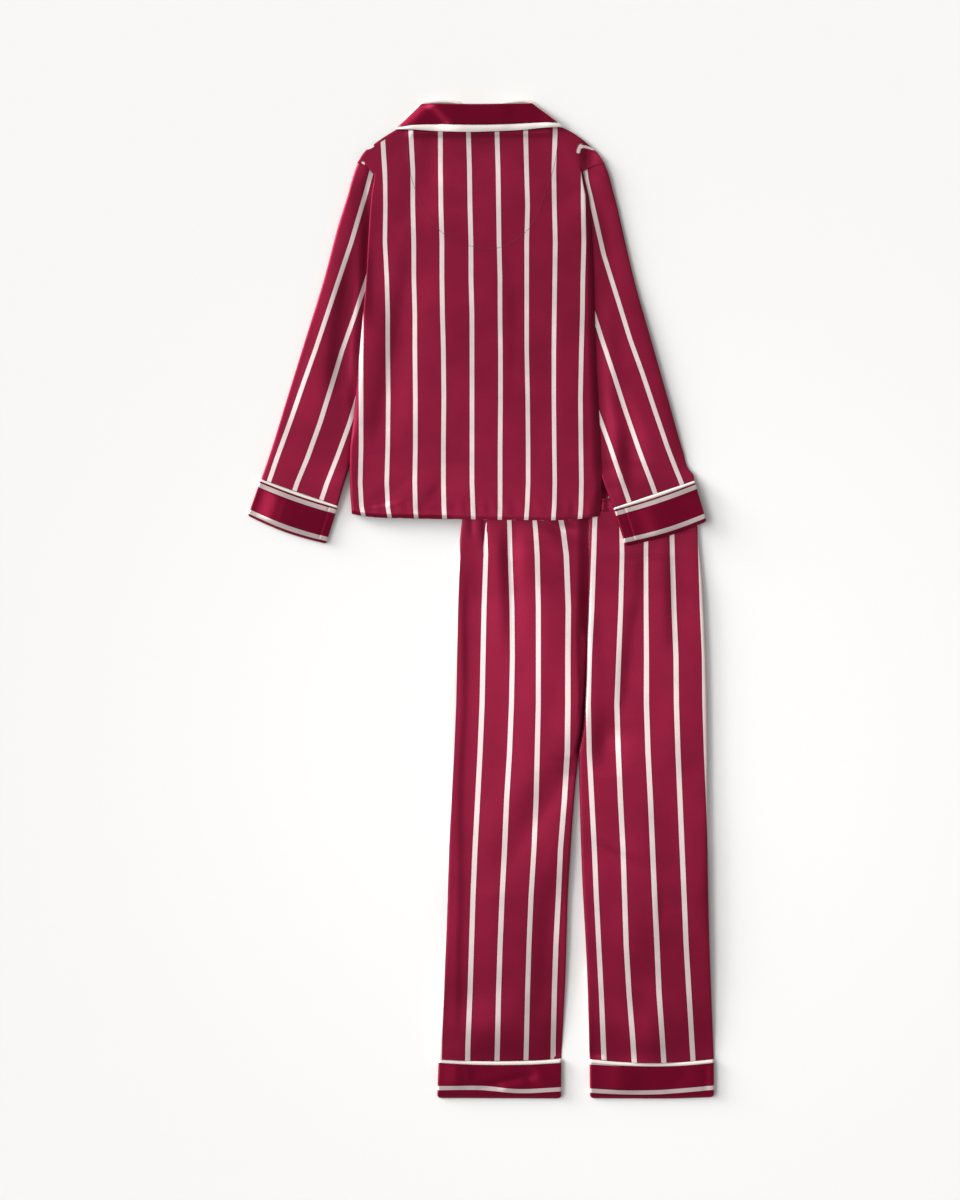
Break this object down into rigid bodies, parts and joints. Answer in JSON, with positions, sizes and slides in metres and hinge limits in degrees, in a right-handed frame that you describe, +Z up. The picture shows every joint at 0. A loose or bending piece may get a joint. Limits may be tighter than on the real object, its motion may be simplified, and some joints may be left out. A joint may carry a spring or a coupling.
{
  "type": "striped satin pyjama set",
  "caption": "Long-sleeved revere-collar pyjama shirt in wide-striped satin, lying back up over matching long trousers with piped cuffs and hem bands.",
  "frame": {"origin": "centre of the set's bounding box, on the surface that it lies on", "axes": "+Y from the trouser hems to the collar, +X towards the sleeve whose cuff lies on the trousers, +Z up from the surface; the garments lie with their backs up"},
  "size_m": [0.6756, 1.4459, 0.0116],
  "materials": {
    "striped_satin": "burgundy satin with narrow cream stripes, soft sheen",
    "cream_piping": "cream satin piping",
    "button": "pearly shirt button"
  },
  "bodies": {
    "root": {"shirt_back": "striped_satin", "shirt_front_left": "striped_satin", "shirt_front_right": "striped_satin", "sleeve_left": "striped_satin", "sleeve_right": "striped_satin", "cuff_left": "striped_satin", "cuff_right": "striped_satin", "cuff_piping_left": "cream_piping", "cuff_piping_right": "cream_piping", "collar": "striped_satin", "collar_piping": "cream_piping", "collar_stand": "striped_satin", "collar_point_left": "striped_satin", "collar_point_right": "striped_satin", "lapel_left": "striped_satin", "lapel_right": "striped_satin", "button_1": "button", "button_2": "button", "button_3": "button", "button_4": "button", "trouser_back_left": "striped_satin", "trouser_back_right": "striped_satin", "trouser_front_left": "striped_satin", "trouser_front_right": "striped_satin", "waistband": "striped_satin", "hem_band_left": "striped_satin", "hem_band_right": "striped_satin", "hem_piping_left": "cream_piping", "hem_piping_right": "cream_piping"}
  },
  "joints": []
}
